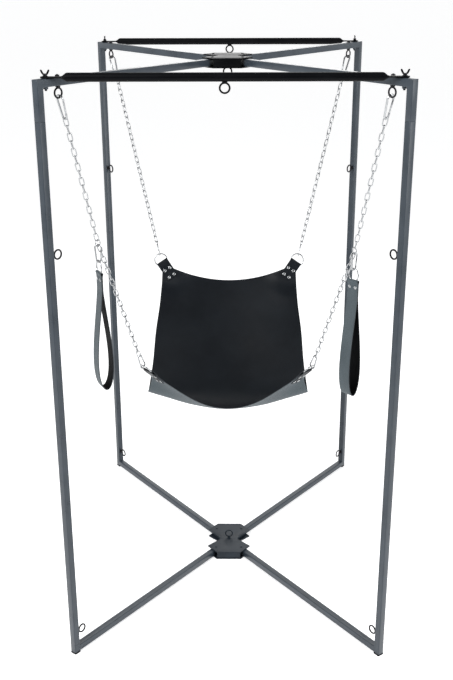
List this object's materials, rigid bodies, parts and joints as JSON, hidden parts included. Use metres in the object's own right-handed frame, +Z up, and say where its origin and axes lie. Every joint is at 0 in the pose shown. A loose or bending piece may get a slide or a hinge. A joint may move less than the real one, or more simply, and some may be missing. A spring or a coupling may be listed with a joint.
{
  "type": "sling swing frame",
  "caption": "Free-standing square-tube steel frame with hub-joined arms that carries a leather sling seat and foot loops on chains.",
  "frame": {"origin": "on the floor at the centre of the frame", "axes": "+Z up, +X across the frame to the right, +Y to the back, where the sling is higher"},
  "size_m": [1.1726, 1.5356, 2.1266],
  "materials": {
    "frame_coat": "satin graphite powder coat",
    "black_coat": "satin black powder coat",
    "black_steel": "black zinc, semi-gloss",
    "nickel": "bright nickel plate",
    "leather": "black smooth grain with a soft sheen",
    "strap_leather": "black smooth grain, satin"
  },
  "bodies": {
    "root": {"front_left_leg": "frame_coat", "front_right_leg": "frame_coat", "rear_left_leg": "frame_coat", "rear_right_leg": "frame_coat", "front_left_top_corner": "frame_coat", "front_right_top_corner": "frame_coat", "rear_left_top_corner": "frame_coat", "rear_right_top_corner": "frame_coat", "front_left_arm_eye_bolt": "black_steel", "front_right_arm_eye_bolt": "black_steel", "rear_left_arm_eye_bolt": "black_steel", "rear_right_arm_eye_bolt": "black_steel", "floor_hub": "black_coat", "top_hub": "black_coat", "front_spreader_bar": "black_coat", "rear_spreader_bar": "black_coat"},
    "rear_chains": {"rear_left_upper_hook_body": "nickel", "rear_left_lower_hook_body": "nickel", "rear_left_chain": "nickel", "rear_right_upper_hook_body": "nickel", "rear_right_lower_hook_body": "nickel", "rear_right_chain": "nickel"},
    "front_chains": {"front_left_upper_hook_body": "nickel", "front_left_lower_hook_body": "nickel", "front_left_chain": "nickel", "front_right_upper_hook_body": "nickel", "front_right_lower_hook_body": "nickel", "front_right_chain": "nickel"},
    "sling": {"sling_sheet": "leather", "front_left_sling_ring": "nickel", "front_right_sling_ring": "nickel", "rear_left_sling_ring": "nickel", "rear_right_sling_ring": "nickel", "front_left_sling_tab": "leather", "front_right_sling_tab": "leather", "rear_left_sling_tab": "leather", "rear_right_sling_tab": "leather"},
    "left_stirrup": {"left_stirrup_hook_body": "nickel", "left_stirrup_ring": "nickel", "left_stirrup_strap": "strap_leather"},
    "right_stirrup": {"right_stirrup_hook_body": "nickel", "right_stirrup_ring": "nickel", "right_stirrup_strap": "strap_leather"},
    "rear_left_upper_hook_gate": {"rear_left_upper_hook_gate": "nickel"},
    "rear_left_lower_hook_gate": {"rear_left_lower_hook_gate": "nickel"},
    "front_left_upper_hook_gate": {"front_left_upper_hook_gate": "nickel"},
    "front_left_lower_hook_gate": {"front_left_lower_hook_gate": "nickel"},
    "rear_right_upper_hook_gate": {"rear_right_upper_hook_gate": "nickel"},
    "rear_right_lower_hook_gate": {"rear_right_lower_hook_gate": "nickel"},
    "front_right_upper_hook_gate": {"front_right_upper_hook_gate": "nickel"},
    "front_right_lower_hook_gate": {"front_right_lower_hook_gate": "nickel"},
    "left_stirrup_hook_gate": {"left_stirrup_hook_gate": "nickel"},
    "right_stirrup_hook_gate": {"right_stirrup_hook_gate": "nickel"},
    "front_left_wing_screw": {"front_left_wing_screw": "black_steel"},
    "front_right_wing_screw": {"front_right_wing_screw": "black_steel"},
    "rear_left_wing_screw": {"rear_left_wing_screw": "black_steel"},
    "rear_right_wing_screw": {"rear_right_wing_screw": "black_steel"}
  },
  "joints": [
    {"name": "rear_chain_swing", "type": "hinge", "parent": "root", "child": "rear_chains", "pos_m": [0, 0.6781, 2.03857], "axis": [1, 0, 0], "range_deg": [-5, 5]},
    {"name": "sling_tilt", "type": "hinge", "parent": "rear_chains", "child": "sling", "pos_m": [0, 0.30753, 1.25362], "axis": [1, 0, 0], "range_deg": [-10.5, 10.5]},
    {"name": "front_chain_swing", "type": "hinge", "parent": "root", "child": "front_chains", "pos_m": [0, -0.68026, 2.03743], "axis": [1, 0, 0], "range_deg": [-3.5, 3.5]},
    {"name": "left_stirrup_swing", "type": "hinge", "parent": "front_chains", "child": "left_stirrup", "pos_m": [-0.44, -0.535, 1.53], "axis": [0.8646, -0.5023, -0.0149], "range_deg": [-16, 3]},
    {"name": "right_stirrup_swing", "type": "hinge", "parent": "front_chains", "child": "right_stirrup", "pos_m": [0.44, -0.535, 1.502], "axis": [0.8686, 0.4953, 0.0117], "range_deg": [-16, 3]},
    {"name": "rear_left_upper_hook_gate_opening", "type": "hinge", "parent": "rear_chains", "child": "rear_left_upper_hook_gate", "pos_m": [-0.50908, 0.65086, 1.99298], "axis": [-0.5312, 0.7008, -0.4762], "range_deg": [0, 18], "stiffness_Nm_per_rad": 0.05, "springref_deg": -17.19},
    {"name": "rear_left_lower_hook_gate_opening", "type": "hinge", "parent": "rear_chains", "child": "rear_left_lower_hook_gate", "pos_m": [-0.30868, 0.31638, 1.29173], "axis": [0.9707, 0.1083, 0.2144], "range_deg": [0, 18], "stiffness_Nm_per_rad": 0.05, "springref_deg": -17.19},
    {"name": "front_left_upper_hook_gate_opening", "type": "hinge", "parent": "front_chains", "child": "front_left_upper_hook_gate", "pos_m": [-0.50052, -0.67147, 1.98705], "axis": [-0.5757, -0.7595, -0.303], "range_deg": [0, 18], "stiffness_Nm_per_rad": 0.05, "springref_deg": -17.19},
    {"name": "front_left_lower_hook_gate_opening", "type": "hinge", "parent": "front_chains", "child": "front_left_lower_hook_gate", "pos_m": [-0.32515, -0.32553, 1.02495], "axis": [-0.7565, 0.6468, 0.0962], "range_deg": [0, 18], "stiffness_Nm_per_rad": 0.05, "springref_deg": -17.19},
    {"name": "rear_right_upper_hook_gate_opening", "type": "hinge", "parent": "rear_chains", "child": "rear_right_upper_hook_gate", "pos_m": [0.49372, 0.66184, 1.992], "axis": [0.5312, 0.7008, -0.4762], "range_deg": [0, 18], "stiffness_Nm_per_rad": 0.05, "springref_deg": -17.19},
    {"name": "rear_right_lower_hook_gate_opening", "type": "hinge", "parent": "rear_chains", "child": "rear_right_lower_hook_gate", "pos_m": [0.30868, 0.31638, 1.29173], "axis": [0.9707, -0.1083, -0.2144], "range_deg": [0, 18], "stiffness_Nm_per_rad": 0.05, "springref_deg": -17.19},
    {"name": "front_right_upper_hook_gate_opening", "type": "hinge", "parent": "front_chains", "child": "front_right_upper_hook_gate", "pos_m": [0.51621, -0.66112, 1.98765], "axis": [0.5783, -0.763, -0.2889], "range_deg": [0, 18], "stiffness_Nm_per_rad": 0.05, "springref_deg": -17.19},
    {"name": "front_right_lower_hook_gate_opening", "type": "hinge", "parent": "front_chains", "child": "front_right_lower_hook_gate", "pos_m": [0.32542, -0.32625, 1.02477], "axis": [-0.7583, -0.6442, -0.0997], "range_deg": [0, 18], "stiffness_Nm_per_rad": 0.05, "springref_deg": -17.19},
    {"name": "left_stirrup_hook_gate_opening", "type": "hinge", "parent": "left_stirrup", "child": "left_stirrup_hook_gate", "pos_m": [-0.43176, -0.5343, 1.47911], "axis": [0.0844, -0.9964, 0], "range_deg": [0, 18], "stiffness_Nm_per_rad": 0.05, "springref_deg": -17.19},
    {"name": "right_stirrup_hook_gate_opening", "type": "hinge", "parent": "right_stirrup", "child": "right_stirrup_hook_gate", "pos_m": [0.44718, -0.5309, 1.45111], "axis": [0.4954, -0.8687, 0], "range_deg": [0, 18], "stiffness_Nm_per_rad": 0.05, "springref_deg": -17.19},
    {"name": "front_left_wing_screw_turn", "type": "hinge", "parent": "root", "child": "front_left_wing_screw", "pos_m": [-0.54857, -0.7237, 2.112], "axis": [0, 0, 1], "continuous": true},
    {"name": "front_right_wing_screw_turn", "type": "hinge", "parent": "root", "child": "front_right_wing_screw", "pos_m": [0.54857, -0.7237, 2.112], "axis": [0, 0, 1], "continuous": true},
    {"name": "rear_left_wing_screw_turn", "type": "hinge", "parent": "root", "child": "rear_left_wing_screw", "pos_m": [-0.54857, 0.7237, 2.112], "axis": [0, 0, 1], "continuous": true},
    {"name": "rear_right_wing_screw_turn", "type": "hinge", "parent": "root", "child": "rear_right_wing_screw", "pos_m": [0.54857, 0.7237, 2.112], "axis": [0, 0, 1], "continuous": true}
  ],
  "couplings": [
    {"joint": "sling_tilt", "follows": "rear_chain_swing", "ratio": -1.8951},
    {"joint": "front_chain_swing", "follows": "rear_chain_swing", "ratio": 0.52207}
  ]
}
